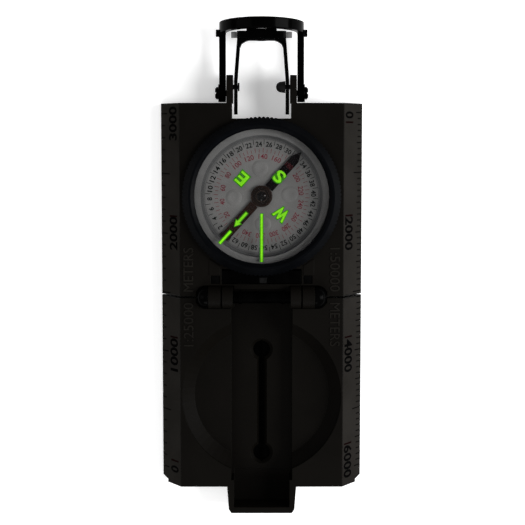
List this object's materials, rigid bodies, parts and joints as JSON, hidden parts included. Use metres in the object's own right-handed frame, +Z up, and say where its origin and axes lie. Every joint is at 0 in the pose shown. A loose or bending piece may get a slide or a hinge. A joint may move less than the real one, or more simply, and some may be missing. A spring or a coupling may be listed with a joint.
{
  "type": "sighting compass",
  "caption": "Folding sighting compass: flat cased dial with turning bezel, hinged cover with sighting slot and wire, flip-up lens bracket and thumb loop.",
  "frame": {"origin": "underside of the base, directly below the pivot of the dial", "axes": "+Y from the dial to the thumb loop, along both opened halves; +Z up through the dial; X across"},
  "size_m": [0.0676, 0.1653, 0.0191],
  "materials": {
    "casing": "matte",
    "underplate": "matte",
    "bezel": "satin",
    "black_metal": "gloss",
    "hinge_metal": "gloss",
    "index_block": "gloss",
    "index_mark": "matte",
    "pad": "matte",
    "glazing": "clear",
    "capsule": "satin",
    "capsule_rim": "matte",
    "card": "satin",
    "magnet_brown": "satin",
    "magnet_black": "satin",
    "hub": "satin",
    "jewel": "clear",
    "brass_post": "satin",
    "steel": "satin",
    "luminous": "matte",
    "smoked_window": "smoked",
    "wing_grey": "satin"
  },
  "bodies": {
    "base": {"base_case": "casing", "base_plate": "underplate", "plate_screw_1": "steel", "plate_screw_2": "steel", "plate_screw_3": "steel", "hinge_pin": "hinge_metal", "hinge_cap_left": "hinge_metal", "hinge_cap_right": "hinge_metal", "index_block": "index_block", "index_insert": "index_mark", "side_pad_left": "pad", "side_pad_right": "pad", "capsule_bowl": "capsule", "capsule_gasket": "capsule_rim", "capsule_crystal": "glazing", "pivot_post": "brass_post", "snap_ring": "steel", "lens_pin_left": "steel", "lens_pin_right": "steel", "loop_screw_left": "black_metal", "loop_screw_right": "black_metal"},
    "cover": {"cover": "casing", "sight_window": "smoked_window", "sight_wire": "steel"},
    "card": {"compass_card": "card", "magnet_north": "magnet_brown", "magnet_south": "magnet_black", "card_hub": "hub", "hub_jewel": "jewel"},
    "bezel": {"bezel_ring": "bezel", "bezel_crystal": "glazing"},
    "lens_bracket": {"lens_bracket": "black_metal", "lens_housing": "black_metal", "housing_wing_left": "wing_grey", "housing_wing_right": "wing_grey", "magnifier_lens": "glazing", "lens_ring": "black_metal"},
    "thumb_loop": {"thumb_loop": "black_metal"}
  },
  "joints": [
    {"name": "cover_hinge", "type": "hinge", "parent": "base", "child": "cover", "pos_m": [0, -0.0335, 0.0123], "axis": [-1, 0, 0], "range_deg": [0, 180]},
    {"name": "bezel_turn", "type": "hinge", "parent": "base", "child": "bezel", "pos_m": [0, 0, 0.0123], "axis": [0, 0, 1], "continuous": true},
    {"name": "card_turn", "type": "hinge", "parent": "base", "child": "card", "pos_m": [0, 0, 0.0097], "axis": [0, 0, 1], "continuous": true},
    {"name": "lens_bracket_hinge", "type": "hinge", "parent": "base", "child": "lens_bracket", "pos_m": [0, 0.036, 0.0104], "axis": [1, 0, 0], "range_deg": [0, 150]},
    {"name": "thumb_loop_hinge", "type": "hinge", "parent": "base", "child": "thumb_loop", "pos_m": [0, 0.0342, 0.005], "axis": [1, 0, 0], "range_deg": [-90, 90]}
  ]
}
